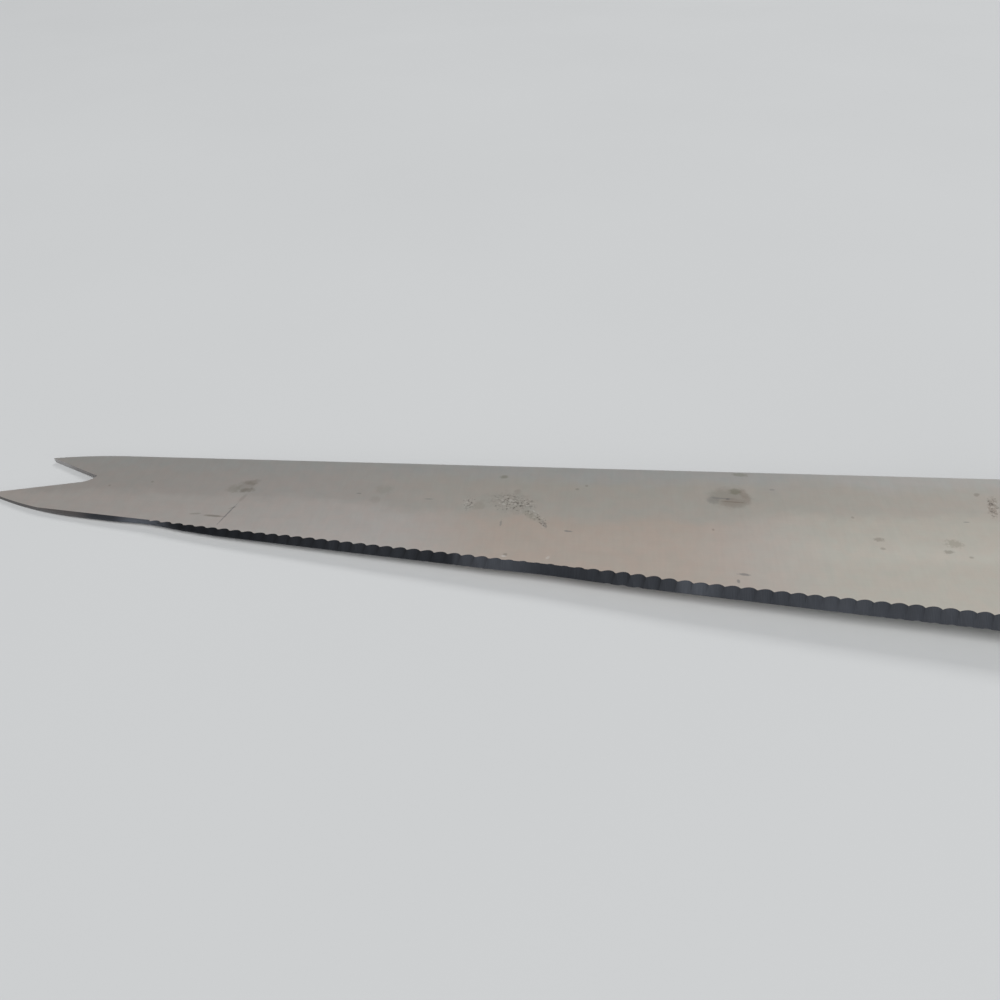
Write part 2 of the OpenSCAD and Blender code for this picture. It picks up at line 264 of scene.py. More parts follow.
def arc_values(first, last, steps):
    """Evenly spaced values from first to last, both included."""
    return [first + (last - first) * i / steps for i in range(steps + 1)]


def blade_outline():
    """Outline of the blade up to a little way into the handle, from the lower point round by the edge."""
    blade, teeth = blade_sizes(), teeth_sizes()
    belly_l = belly_length()
    heel_s = blade.blade_l - blade.heel_gap
    back = blade.blade_l + blade.choil_r
    start = teeth.plain_l - BEVEL_LEAD
    neck = handle_sizes().neck_w
    centre = (blade.notch_l - blade.notch_r * sin(blade.notch_rise),
              blade.notch_r * cos(blade.notch_rise) - blade.upper_prong_w)
    points = [(s, plain_edge_y(s) + (belly_l - s) ** 2 / 2 / blade.belly_r)
              for s in arc_values(0, belly_l, 24)]
    ends = (belly_l, start, start + teeth.bevel_run, HOLLOWS_END * blade.blade_l)
    for first, last, steps in zip(ends, ends[1:], (10, 14, 16)):
        points += [(s, plain_edge_y(s)) for s in arc_values(first, last, steps)[1:]]
    points += [(heel_s, edge_y(heel_s))]
    points += [(heel_s + blade.choil_r * (1 - cos(a)), -neck - blade.choil_r * (1 - sin(a)))
               for a in arc_values(0, pi / 2, 12)]
    points += [(back, -neck), (back, 0)]
    points += [(blade.upper_back + s, -blade.upper_drop * (1 - s / blade.spine_arc_l) ** 2)
               for s in arc_values(blade.spine_arc_l, 0, 20)]
    points += [(centre[0] + blade.notch_r * sin(a), centre[1] - blade.notch_r * cos(a))
               for a in arc_values(blade.notch_rise, blade.prong_rise, 16)]
    return [(s - blade.blade_l, y) for s, y in points]


# Behind its swell the butt tapers and thins by these amounts per millimetre
BUTT_TAPER = 0.06
BUTT_THINNING = 0.05
# Roundness of the end of the handle and of its sides, and the turn at which the rounding ends
END_ROUNDNESS = 2.8
SIDE_ROUNDNESS = 2.9
END_TURN = radians(76)
# Share of a side's thickness that is left at the end of the handle
END_LEFT = 0.35
# The pins through the bolster stand at this share of its length
BOLSTER_PIN_SHARE = 0.6
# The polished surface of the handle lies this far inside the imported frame's
POLISH = 0.02 * MM
# Depth of the ends of pins and rivets, and of the eyelet, below the surface round them
FLUSH_INSET = 0.03 * MM
EYELET_INSET = 0.25 * MM
# How much wider a hole is than what goes through it, in the tang, in the sides and in the hollow shanks
TANG_PLAY = 0.2 * MM
SIDE_PLAY = 0.08 * MM
PIN_PLAY = 0.04 * MM
# A shank or a pin ends this far short of the end of its hole, and overlaps the head that it is joined to
SHANK_GAP = 0.3 * MM
OVERLAP = 0.25 * MM
# Widths of the softened edges: at the end of the scales, against their seams, at the rivet heads, and at the
# bore and the outside of the eyelet
END_EASE = 5
HEAD_EASE = 0.08 * MM
BORE_EASE = 0.35 * MM
EYELET_EASE = 0.12 * MM
# An edge this near to a seam is taken to lie on it, and one this near to the last section, to belong to it
NEAR = 0.1 * MM
HAIR = 0.01 * MM
# A side's foot reaches this far above the tang, and a rivet head's this far above its seat
FOOT = 0.2 * MM
HEAD_FOOT = 0.5 * MM
# Edges that bend by more than this are softened, and at the end of the scales the slighter ones too
SHARP = radians(40)
END_SHARP = radians(20)
# The shading runs smoothly over edges that bend by less than this
SMOOTH = radians(30)
BLADE_SMOOTH = radians(15)
# Corners of the rods that are seen
ROUND = 96


def handle_rows():
    """Distance, depth of the centre line, half width and thickness of a side, where the handle is given."""
    handle = handle_sizes()
    taper, thinning = handle.butt_back * BUTT_TAPER, handle.butt_back * BUTT_THINNING
    return [
        (0, -handle.neck_w / 2, handle.neck_w / 2, handle.neck_t),
        (handle.grip_x, -handle.grip_drop, handle.grip_w / 2, handle.grip_t),
        (handle.waist_x, -handle.waist_drop, handle.waist_w / 2, handle.waist_t),
        (handle.handle_l - handle.butt_back, -handle.butt_drop, handle.butt_w / 2, handle.butt_t),
        (handle.handle_l, -handle.butt_drop - taper, handle.butt_w / 2 - taper, handle.butt_t - thinning),
    ]


def row_slope(rows, i, column):
    """Slope of one column at a row, level at both ends."""
    if i in (0, len(rows) - 1):
        return 0
    return (rows[i + 1][column] - rows[i - 1][column]) / (rows[i + 1][0] - rows[i - 1][0])


def along(x, column):
    """Smooth curve through the rows, for one of their columns."""
    rows = handle_rows()
    i = max(k for k in range(len(rows) - 1) if rows[k][0] <= x or k == 0)
    run = rows[i + 1][0] - rows[i][0]
    t = (x - rows[i][0]) / run
    return (rows[i][column] * (2 * t ** 3 - 3 * t ** 2 + 1)
            + row_slope(rows, i, column) * run * (t ** 3 - 2 * t ** 2 + t)
            + rows[i + 1][column] * (3 * t ** 2 - 2 * t ** 3)
            + row_slope(rows, i + 1, column) * run * (t ** 3 - t ** 2))


def end_x():
    """Where the rounding of the handle's end begins."""
    handle = handle_sizes()
    return handle.handle_l - handle.end_l


def end_share(x):
    """Share of the width that the rounding leaves."""
    run = max((x - end_x()) / handle_sizes().end_l, 0)
    return (1 - run ** END_ROUNDNESS) ** (1 / END_ROUNDNESS)


def centre_y(x):
    """Height of the handle's centre line."""
    return along(x, 1)


def half_width(x):
    """Half width of the handle."""
    return along(x, 2) * end_share(x) - POLISH


def side_thickness(x):
    """Thickness of one side of the handle, with its sloping bolster and its rounded end."""
    handle = handle_sizes()
    if x < handle.bolster_l:
        rise = sin(pi / 2 * x / handle.bolster_l)
        return handle.bolster_front_t + (along(handle.bolster_l, 3) - handle.bolster_front_t) * rise - POLISH
    return along(x, 3) * (END_LEFT + (1 - END_LEFT) * end_share(x)) - POLISH


def bolster_places():
    """Places of the sections along the bolster."""
    return arc_values(0, handle_sizes().bolster_l, 20)


def scale_places():
    """Places of the sections along the scales."""
    start, end = handle_sizes().bolster_l, end_x()
    turns = arc_values(0, END_TURN, 18)[1:]
    return arc_values(start, end, 60) + [
        end + handle_sizes().end_l * sin(turn) ** (2 / END_ROUNDNESS) for turn in turns]


def section(x):
    """One section of the handle: place, centre, half width and side thickness."""
    return x, centre_y(x), half_width(x), side_thickness(x)


def crown_outline(x, steps=48):
    """Section of the left side at x, from its upper rim over the crown to its lower rim."""
    def power(value):
        return (1 if value >= 0 else -1) * abs(value) ** (2 / SIDE_ROUNDNESS)
    base = blade_sizes().blade_t / 2
    return [(x, centre_y(x) + half_width(x) * power(cos(turn)), base + side_thickness(x) * power(sin(turn)))
            for turn in arc_values(0, pi, steps)[:-1]] + [(x, centre_y(x) - half_width(x), base)]


def rivet_places():
    """The rivets, on the centre line."""
    handle = handle_sizes()
    xs = [handle.rivet_x + i * handle.rivet_pitch for i in range(3)]
    return [(x, centre_y(x)) for x in xs]


def bolster_pin_places():
    """The pins through the bolsters."""
    handle = handle_sizes()
    x = handle.bolster_l * BOLSTER_PIN_SHARE
    return [(x, centre_y(x) + side * handle.bolster_pin_pitch / 2) for side in (1, -1)]


def bore_place():
    """The hanging hole."""
    handle = handle_sizes()
    x = handle.handle_l - handle.bore_back
    return x, centre_y(x)


def knife_placement():
    """Turn and shift from the knife's own axes to the frame, read from the hanging hole's mount."""
    mount = next(m for m in frame["record"]["mounts"] if m["name"] == "hanging_hole")
    rest_angle = -asin(mount["axis"][0])
    turn = Matrix.Rotation(-rest_angle, 4, "Y")
    x, y = bore_place()
    shift = Vector(mount["pos_m"]) - turn @ Vector((x, y, 0))
    return Matrix.Translation(shift) @ turn


def deselect_all():
    """Leaves edit mode, with nothing selected."""
    if bpy.context.object and bpy.context.object.mode != "OBJECT":
        bpy.ops.object.mode_set(mode="OBJECT")
    bpy.ops.object.select_all(action="DESELECT")


def pick(obj):
    """Selects one object alone and makes it the active one."""
    deselect_all()
    obj.select_set(True)
    bpy.context.view_layer.objects.active = obj


def edit(obj):
    """Opens an object in edit mode with all of it selected."""
    pick(obj)
    bpy.ops.object.mode_set(mode="EDIT")
    bpy.ops.mesh.select_mode(type="VERT")
    bpy.ops.mesh.select_all(action="SELECT")


def named(name):
    """Names the object just added."""
    obj = bpy.context.object
    obj.name = obj.data.name = name
    return obj


def remove(obj):
    """Deletes a helper object."""
    pick(obj)
    bpy.ops.object.delete()


def trace(name, points):
    """Draws a closed flat outline by extruding one point after another, and fills it. Stays in edit mode."""
    deselect_all()
    bpy.ops.mesh.primitive_plane_add(size=MM)
    obj = named(name)
    edit(obj)
    bpy.ops.mesh.merge(type="CENTER")
    bpy.ops.transform.translate(value=points[0])
    for before, after in zip(points, points[1:]):
        bpy.ops.mesh.extrude_vertices_move(TRANSFORM_OT_translate={"value": Vector(after) - Vector(before)})
    bpy.ops.mesh.select_all(action="SELECT")
    bpy.ops.mesh.edge_face_add()
    return obj


def extrude(move):
    """Extrudes what is selected."""
    bpy.ops.mesh.extrude_region_move(TRANSFORM_OT_translate={"value": move})


def face_outwards():
    """Turns all faces of the edited mesh outwards and leaves edit mode."""
    bpy.ops.mesh.select_all(action="SELECT")
    bpy.ops.mesh.normals_make_consistent(inside=False)
    bpy.ops.object.mode_set(mode="OBJECT")


def plate(name, outline, bottom, top):
    """A plate of an outline between two heights."""
    obj = trace(name, [(x, y, bottom) for x, y in outline])
    extrude((0, 0, top - bottom))
    face_outwards()
    return obj


def combine(obj, other, operation, keep=False):
    """Cuts, joins or crosses an object with another one, which is then deleted unless it is kept."""
    pick(obj)
    bpy.ops.object.modifier_add(type="BOOLEAN")
    boolean = obj.modifiers[-1]
    boolean.operation = operation
    boolean.solver = "EXACT"
    boolean.object = other
    bpy.ops.object.modifier_apply(modifier=boolean.name)
    if not keep:
        remove(other)


def rod(name, place, diameter, bottom, top, vertices=64):
    """A round rod along the knife's thickness, at a place on its side."""
    deselect_all()
    bpy.ops.mesh.primitive_cylinder_add(
        vertices=vertices, radius=diameter / 2, depth=top - bottom,
        location=(place[0], place[1], (bottom + top) / 2),
    )
    obj = named(name)
    bpy.ops.object.transform_apply(location=True, rotation=True, scale=True)
    return obj


def drill(obj, place, diameter, bottom, top, vertices=64):
    """Cuts a round hole along the knife's thickness."""
    combine(obj, rod("Hole", place, diameter, bottom, top, vertices), "DIFFERENCE")


def duplicate(obj, name):
    """A copy with its own mesh."""
    pick(obj)
    bpy.ops.object.duplicate(linked=False)
    return named(name)


def mirror_through_tang(obj):
    """Turns a piece of the left side into one of the right side."""
    edit(obj)
    bpy.ops.transform.resize(value=(1, 1, -1), center_override=(0, 0, 0))
    face_outwards()


def soften(obj, width, segments, wanted, bend=SHARP):
    """Bevels the edges that bend by more than an angle and whose middle is wanted."""
    edit(obj)
    bpy.ops.mesh.select_all(action="DESELECT")
    bpy.ops.mesh.select_mode(type="EDGE")
    bpy.ops.object.mode_set(mode="OBJECT")
    mesh = obj.data
    sides = {}
    for polygon in mesh.polygons:
        for key in polygon.edge_keys:
            sides.setdefault(key, []).append(polygon.normal.copy())
    for line in mesh.edges:
        normals = sides.get(line.key, [])
        start, end = (mesh.vertices[v].co for v in line.vertices)
        bent = len(normals) == 2 and normals[0].angle(normals[1], 0) > bend
        line.select = bool(bent and wanted((start + end) / 2))
    bpy.ops.object.mode_set(mode="EDIT")
    bpy.ops.mesh.bevel(offset=width, offset_type="OFFSET", segments=segments, profile=0.5, affect="EDGES",
                       clamp_overlap=True)
    bpy.ops.object.mode_set(mode="OBJECT")


def finish_piece(obj, nodes, materials, smooth_angle=SMOOTH):
    """Lays a piece down in the frame, smooths it, gives it its materials, hides its CAD nodes and hangs it
    under the root body.
    """
    pick(obj)
    bpy.ops.object.shade_smooth_by_angle(angle=smooth_angle)
    obj.matrix_world = knife_placement()
    bpy.ops.object.transform_apply(location=True, rotation=True, scale=True)
    obj.data.materials.clear()
    for material in materials:
        obj.data.materials.append(material)
    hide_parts(*nodes)
    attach(obj, "root")


def finish_both_sides(left, name, material):
    """Mirrors a piece of the left side into one of the right side, and finishes both."""
    right = duplicate(left, name + "_right")
    mirror_through_tang(right)
    for obj, side in ((left, "_left"), (right, "_right")):
        finish_piece(obj, [name.lower() + side], [material])


def tinted(colour, factors):
    """A colour times one factor, or times one each for red, green and blue, held to 1."""
    factors = factors if isinstance(factors, tuple) else (factors,) * 3
    return tuple(min(v * f, 1) for v, f in zip(colour, factors))


class Nodes:
    """The nodes of a material, a group or the world, which are added and linked here."""

    def __init__(self, tree):
        self.tree = tree

    def link(self, value, socket):
        """Links an output to a socket, or fills the socket with a plain value."""
        if isinstance(value, bpy.types.NodeSocket):
            self.tree.links.new(value, socket)
        else:
            socket.default_value = value

    def add(self, kind, inputs=None, **settings):
        """Adds a node, sets it up and links or fills its inputs."""
        made = self.tree.nodes.new("ShaderNode" + kind)
        for name, value in settings.items():
            setattr(made, name, value)
        for socket, value in (inputs or {}).items():
            self.link(value, made.inputs[socket])
        return made

    def maths(self, operation, first, second, clamp=False):
        """A sum, product or other function of two numbers or sockets."""
        return self.add("Math", {0: first, 1: second}, operation=operation, use_clamp=clamp).outputs[0]

    def plus(self, first, second, clamp=False):
        """The sum of two values."""
        return self.maths("ADD", first, second, clamp)

    def minus(self, first, second):
        """The difference of two values."""
        return self.maths("SUBTRACT", first, second)

    def times(self, first, second):
        """The product of two values."""
        return self.maths("MULTIPLY", first, second)

    def weighed(self, start, *parts):
        """A start value and some parts, each given with its weight, added up."""
        total = start
        for value, weight in parts:
            total = self.plus(total, self.times(value, weight))
        return total

    def remap(self, value, low, high, to_low=0.0, to_high=1.0):
        """Stretches a range of values smoothly over another."""
        ends = {"Value": value, "From Min": low, "From Max": high, "To Min": to_low, "To Max": to_high}
        return self.add("MapRange", ends, interpolation_type="SMOOTHSTEP").outputs["Result"]

    def blend(self, factor, first, second, mode="MIX"):
        """Mixes two colours."""
        made = self.add("Mix", {0: factor}, data_type="RGBA", blend_type=mode)
        sockets = [s for s in made.inputs if s.type == "RGBA"]
        for socket, value in zip(sockets, (first, second)):
            self.link(value if isinstance(value, bpy.types.NodeSocket) else (*value, 1), socket)
        return next(s for s in made.outputs if s.type == "RGBA")

    def shaded(self, colour, level):
        """A colour times a level."""
        grey = self.add("CombineColor", {0: level, 1: level, 2: level}).outputs[0]
        return self.blend(1.0, colour, grey, "MULTIPLY")

    def split(self, vector):
        """The three parts of a vector, by the names of the axes."""
        return self.add("SeparateXYZ", {0: vector}).outputs

    def placed(self, vector, place, turn, size):
        """Coordinates as seen from a place, with a turn and a size of their own."""
        return self.add("Mapping", {"Vector": vector, "Location": place, "Rotation": turn, "Scale": size},
                        vector_type="TEXTURE").outputs[0]

    def noise(self, vector, scale, detail=3.0, roughness=0.5, distortion=0.0):
        """Soft noise from 0 to 1."""
        return self.add("TexNoise", {"Vector": vector, "Scale": scale, "Detail": detail,
                                     "Roughness": roughness, "Distortion": distortion}).outputs["Fac"]

    def grain(self, vector, size, detail, roughness=0.5, turn=0.0):
        """Noise whose spots have a size of their own along each axis."""
        return self.noise(self.placed(vector, (0, 0, 0), (0, 0, turn), size), 1.0, detail, roughness)


class Surface(Nodes):
    """A material with one shader."""

    def __init__(self, name):
        self.material = bpy.data.materials.new(name)
        self.material.use_nodes = True
        super().__init__(self.material.node_tree)
        self.shader = self.tree.nodes["Principled BSDF"]

    def give(self, values):
        """Links or fills inputs of the shader."""
        for name, value in values.items():
            self.link(value, self.shader.inputs[name])

    def bump(self, height, distance, strength):
        """Gives the shader a bump of a height in metres."""
        made = self.add("Bump", {"Height": height, "Distance": distance, "Strength": strength})
        self.give({"Normal": made.outputs["Normal"]})


class KnifeSurface(Surface):
    """A material whose pattern follows the knife's own axes, in millimetres."""

    def __init__(self, name):
        super().__init__(name)
        placement = knife_placement()
        self.vector = self.placed(self.add("TexCoord").outputs["Object"], placement.to_translation(),
                                  placement.to_euler(), (MM, MM, MM))

    @cached_property
    def axes(self):
        """The knife's own axes, each by its name."""
        return self.split(self.vector)

    def along_blade(self, low, high):
        """Rises smoothly from 0 to 1 between two distances from the lower point, in millimetres."""
        start = blade_sizes().blade_l / MM
        return self.remap(self.axes["X"], low - start, high - start)


def mark_group():
    """A node group that masks a soft ellipse at a place, broken up by a grain."""
    if "Mark Mask" in bpy.data.node_groups:
        return bpy.data.node_groups["Mark Mask"]
    group = bpy.data.node_groups.new("Mark Mask", "ShaderNodeTree")
    for name, kind in (("Vector", "Vector"), ("Place", "Vector"), ("Turn", "Vector"), ("Size", "Vector"),
                       ("Grain", "Float"), ("Break", "Float")):
        group.interface.new_socket(name, in_out="INPUT", socket_type="NodeSocket" + kind)
    group.interface.new_socket("Mask", in_out="OUTPUT", socket_type="NodeSocketFloat")
    given = group.nodes.new("NodeGroupInput").outputs
    result = group.nodes.new("NodeGroupOutput").inputs
    nodes = Nodes(group)
    local = nodes.placed(given["Vector"], given["Place"], given["Turn"], given["Size"])
    reach = nodes.add("VectorMath", {0: local}, operation="LENGTH").outputs["Value"]
    pull = nodes.times(nodes.minus(given["Grain"], 0.5), given["Break"])
    nodes.link(nodes.remap(nodes.plus(reach, pull), 1.0, 0.4), result["Mask"])
    return group


# Tones of the marks, against the colour of the stains
TONES = {"umber": (1, 1, 1), "olive": (0.90, 0.98, 0.87), "rust": (1.08, 0.95, 0.93),
         "slate": (0.79, 0.90, 1.09), "pale": (3.1, 3.4, 3.9)}
# Grain of the marks' outlines, in spots per millimetre
FINE, COARSE = 2.2, 0.9
# Marks on the left face: tone, distance from the lower point, height against the spine, half length and half
# width, in millimetres, turn in degrees, grain, how broken the mark is and how dark
MARKS = (
    # The smudge, the scratch below it and the curved mark at its foot
    ("umber", 43.7, -6.0, 1.5, 0.9, 10, COARSE, 1.4, 0.34),
    ("umber", 43.4, -7.9, 1.5, 0.75, 8, COARSE, 1.6, 0.44),
    ("umber", 42.9, -7.0, 2.3, 1.8, 20, COARSE, 1.2, 0.26),
    ("olive", 41.1, -7.6, 1.6, 1.3, 0, COARSE, 1.6, 0.24),
    ("slate", 42.4, -13.7, 3.3, 0.17, 75, FINE, 1.3, 0.66),
    ("umber", 42.7, -12.3, 0.8, 0.14, 24, COARSE, 0.6, 0.5),
    ("umber", 43.4, -9.8, 1.3, 0.45, 75, COARSE, 1.2, 0.24),
    ("umber", 40.4, -14.35, 2.2, 0.30, -3, COARSE, 0.9, 0.66),
    ("umber", 37.2, -14.0, 1.3, 0.28, 4, COARSE, 1.0, 0.38),
    # Faint patches between the smudge and the pits
    ("slate", 61.8, -7.9, 0.6, 0.19, -5, FINE, 0.8, 0.42),
    ("olive", 65.6, -6.8, 1.9, 1.4, 0, COARSE, 1.4, 0.16),
    ("rust", 64.8, -9.2, 1.1, 1.0, 0, COARSE, 1.4, 0.14),
    ("slate", 73.1, -8.7, 0.9, 0.2, 0, FINE, 0.8, 0.36),
    ("olive", 81.0, -9.8, 1.8, 1.3, 0, COARSE, 1.4, 0.20),
    # Round the pits in the middle
    ("olive", 84.1, -2.75, 0.85, 0.55, 12, FINE, 0.9, 0.50),
    ("umber", 85.8, -8.9, 4.8, 2.9, -14, COARSE, 1.4, 0.17),
    ("rust", 86.6, -6.3, 0.8, 0.7, 80, FINE, 1.4, 0.24),
    ("olive", 89.4, -11.8, 2.5, 0.9, -36, FINE, 1.4, 0.26),
    ("slate", 91.2, -13.5, 1.2, 0.45, -66, FINE, 1.2, 0.34),
    ("slate", 94.8, -14.85, 0.8, 0.24, -6, FINE, 1.0, 0.60),
    ("umber", 95.7, -5.25, 0.4, 0.34, 0, FINE, 0.8, 0.42),
    ("slate", 84.9, -13.7, 1.0, 0.22, 88, FINE, 1.6, 0.40),
    ("umber", 86.3, -20.2, 0.4, 0.4, 0, FINE, 0.8, 0.55),
    # The oval stain
    ("umber", 118.3, -6.3, 3.9, 3.0, -6, COARSE, 0.6, 0.40),
    ("slate", 115.9, -6.8, 1.4, 1.1, -10, COARSE, 0.9, 0.28),
    ("rust", 118.7, -7.4, 2.5, 1.4, 0, COARSE, 1.0, 0.24),
    ("olive", 119.3, -4.7, 1.2, 0.95, 0, FINE, 0.9, 0.58),
    ("rust", 120.6, -5.5, 2.0, 0.8, -75, COARSE, 1.0, 0.36),
    ("slate", 117.4, -6.4, 2.2, 0.17, -3, FINE, 0.9, 0.48),
    ("umber", 118.7, -7.15, 2.4, 0.15, -3, FINE, 0.9, 0.45),
    ("slate", 118.0, -6.55, 0.4, 0.3, 0, FINE, 0.6, 0.55),
    ("olive", 120.4, -0.6, 1.5, 0.6, -6, FINE, 1.2, 0.40),
    # Spots and dots behind it
    ("slate", 124.7, -4.0, 0.6, 0.28, 0, FINE, 0.8, 0.32),
    ("umber", 135.0, -9.75, 0.3, 0.3, 0, FINE, 0.6, 0.42),
    ("rust", 115.35, -13.4, 0.25, 0.3, 0, FINE, 0.6, 0.44),
    ("umber", 137.5, -14.2, 0.95, 0.55, -4, FINE, 1.8, 0.45),
    ("umber", 137.6, -16.05, 0.5, 0.32, 0, FINE, 0.9, 0.42),
    ("umber", 145.95, -16.2, 0.8, 0.5, 6, FINE, 1.6, 0.50),
    ("olive", 147.1, -14.5, 1.5, 1.0, -8, FINE, 2.2, 0.32),
    ("umber", 148.5, -17.1, 0.4, 0.28, 0, FINE, 0.6, 0.44),
    ("umber", 153.4, -3.8, 0.65, 0.42, 30, FINE, 1.4, 0.44),
    ("rust", 154.7, -6.5, 2.9, 0.8, 74, FINE, 1.6, 0.40),
    ("slate", 150.1, -9.95, 0.6, 0.15, 0, FINE, 0.6, 0.44),
    # Above the edge
    ("slate", 118.6, -22.1, 1.1, 0.3, -6, FINE, 1.2, 0.60),
    ("slate", 117.75, -23.4, 0.28, 0.45, 0, FINE, 0.6, 0.60),
    ("pale", 86.1, -20.5, 0.5, 0.25, 0, FINE, 1.2, 0.45),
    ("pale", 92.3, -20.4, 0.5, 0.3, 60, FINE, 1.6, 0.30),
    ("umber", 178.0, -20.0, 2.4, 1.3, -20, COARSE, 1.4, 0.20),
)
# Fields of fine pits: place, half length, half width and turn in degrees, and how broken they are
PIT_FIELDS = ((79.5, -9.4, 1.2, 2.0, 0), (86.1, -9.0, 4.1, 2.3, -8), (89.8, -11.8, 2.6, 1.0, -38),
              (91.2, -13.6, 1.3, 0.6, -66), (154.7, -6.4, 3.0, 1.0, 74))
PIT_BREAK = 1.8


def masked(face, flat, grain, place, size, turn, broken):
    """The mask of one mark, whose place and size are in millimetres."""
    inputs = {"Vector": flat, "Grain": grain, "Place": (place[0] - blade_sizes().blade_l / MM, place[1], 0),
              "Size": (*size, 1), "Turn": (0, 0, radians(turn)), "Break": broken}
    return face.add("Group", inputs, node_tree=mark_group()).outputs["Mask"]


def mark_masks(face, flat):
    """How dark the marks of each tone are."""
    grains = {grain: face.noise(flat, grain, 4.0, 0.65) for grain in (FINE, COARSE)}
    totals = {}
    for tone, s, y, long, wide, turn, grain, broken, dark in MARKS:
        part = face.times(masked(face, flat, grains[grain], (s, y), (long, wide), turn, broken), dark)
        totals[tone] = face.plus(totals[tone], part, clamp=True) if tone in totals else part
    return totals


def pit_masks(face, flat):
    """How deep the fine pits are, and how far the metal between them is raised."""
    grain = face.noise(flat, FINE, 4.0, 0.65)
    field = 0.0
    for s, y, long, wide, turn in PIT_FIELDS:
        field = face.maths("MAXIMUM", field, masked(face, flat, grain, (s, y), (long, wide), turn, PIT_BREAK))
    worms = face.noise(flat, 2.3, 1.0, 0.5, 0.9)
    return face.times(face.remap(worms, 0.46, 0.36), field), face.times(face.remap(worms, 0.56, 0.68), field)


def stray_dots(face, flat):
    """A few dots strewn over the whole face."""
    dots = face.add("TexVoronoi", {"Vector": flat, "Scale": 0.17}).outputs
    chosen = face.add("SeparateColor", {0: dots["Color"]}).outputs[0]
    return face.times(face.maths("GREATER_THAN", chosen, 0.72), face.remap(dots["Distance"], 0.055, 0.03))


# Painted reflection on the satin face, as tints in three bands, by the spine, below it and by the edge: where
# each one changes, in millimetres from the lower point, and its tint before and behind that, against the
# colour of the steel.
# The painted reflection is darker and cooler by the spine, and brighter and warmer by the edge
SPINE_BAND = (122, 142, (0.905, 0.94, 0.985), (0.98, 1.01, 1.05))
MIDDLE_BAND = (50, 90, (0.945, 0.935, 0.962), (0.945, 0.93, 0.912))
EDGE_BAND = (112, 134, (1.06, 1.035, 1.06), (1.045, 1.035, 1.0))
# Warm tint of the painted reflection by the edge, in the middle of the blade
WARM_REFLECTION_TINT = (1.018, 0.924, 0.875)


def satin_colour_and_painted_reflection(face):
    """Colour of the face with a painted reflection: darker and cool by the spine, warm and bright by the
    edge, warmer in the middle.
    """
    steel = finish_colours().steel

    def band(begin, end, before, behind):
        return face.blend(face.along_blade(begin, end), tinted(steel, before), tinted(steel, behind))

    sag = face.times(face.along_blade(54, 76), face.along_blade(128, 112))
    warm_reflection_middle = face.times(face.along_blade(66, 88), face.along_blade(132, 108))
    cloud = face.grain(face.vector, (9.0, 5.0, 9.0), 4.0, 0.6)
    height = face.plus(face.axes["Y"], face.times(face.minus(cloud, 0.5), 6.0))
    # Painted reflection: cool and darker by the spine, warm and bright by the edge
    cool = face.blend(face.remap(height, -0.6, -5.2), band(*SPINE_BAND), band(*MIDDLE_BAND))
    warm = face.blend(warm_reflection_middle, band(*EDGE_BAND), tinted(steel, WARM_REFLECTION_TINT))
    return face.blend(face.remap(face.plus(height, face.times(sag, 2.2)), -8.0, -11.0), cool, warm)


def satin_steel():
    """Satin face of the blade: fine lines along it, cloudy wear, tints of painted reflection, marks, dots and
    pits.
    """
    stain = finish_colours().stain
    face = KnifeSurface("Satin Blade Steel")
    flat = face.add("VectorMath", {0: face.vector, 1: (1, 1, 0)}, operation="MULTIPLY").outputs[0]
    lines = face.grain(face.vector, (9.0, 0.11, 1.0), 5.0, 0.6)
    cross = face.grain(face.vector, (0.5, 6.0, 4.0), 3.0)
    mottle = face.noise(face.vector, 0.55, 4.0, 0.6)
    hue = face.remap(face.noise(flat, 0.42, 2.0), 0.35, 0.65)
    hue = face.blend(hue, (1.012, 0.993, 0.985), (0.988, 1.004, 1.0))
    # The satin colour carries the painted reflection
    base = face.blend(1.0, satin_colour_and_painted_reflection(face), hue, "MULTIPLY")
    base = face.shaded(base, face.weighed(0.89, (lines, 0.075), (cross, 0.05), (mottle, 0.095)))
    base = face.blend(face.times(stray_dots(face, flat), 0.4), base, tuple(stain))

    # Marks and pits are on the left face only
    left = face.remap(face.axes["Z"], 0.0, 0.2)
    wear = 0.0
    for tone, mask in mark_masks(face, flat).items():
        mask = face.times(mask, left)
        base = face.blend(mask, base, tinted(stain, TONES[tone]))
        wear = face.plus(wear, mask, clamp=True)
    pits, ridges = (face.times(mask, left) for mask in pit_masks(face, flat))
    base = face.blend(face.times(pits, 0.55), base, (0.10, 0.09, 0.08))
    base = face.blend(face.times(ridges, 0.38), base, (0.86, 0.85, 0.81))
    face.give({"Base Color": base, "Metallic": 1.0, "Anisotropic": 0.35,
               "Roughness": face.weighed(0.30, (lines, 0.10), (mottle, 0.08), (wear, 0.06))})
    face.bump(face.plus(face.minus(face.times(lines, 0.35), pits), ridges), 0.012 * MM, 0.6)
    return face.material


# Painted reflection along the edge: where each change of the flutes' painted level begins and ends, and the
# new level against the colour of the flutes. Behind the step at 79 the teeth are painted paler
FLUTE_REFLECTION_LEVELS = ((16.8, 21.0, 0.76), (23.8, 27.6, 1.72), (28.4, 36.0, 0.25), (46.5, 55.0, 0.40),
                (78.6, 79.4, 0.80), (79.4, 83.0, 0.93), (85.0, 92.5, 0.50), (101, 106, 0.63),
                (108.5, 111.5, 1.16), (112, 116.5, 0.72), (123, 131, 0.84))
# Painted reflection colours of the ground edge of the lower point, and of the notch at its root and towards
# the upper point
POINT_GRIND_REFLECTION = (0.18, 0.17, 0.168)
NOTCH_ROOT_REFLECTION, NOTCH_TIP_REFLECTION = (0.33, 0.315, 0.31), (0.50, 0.485, 0.48)


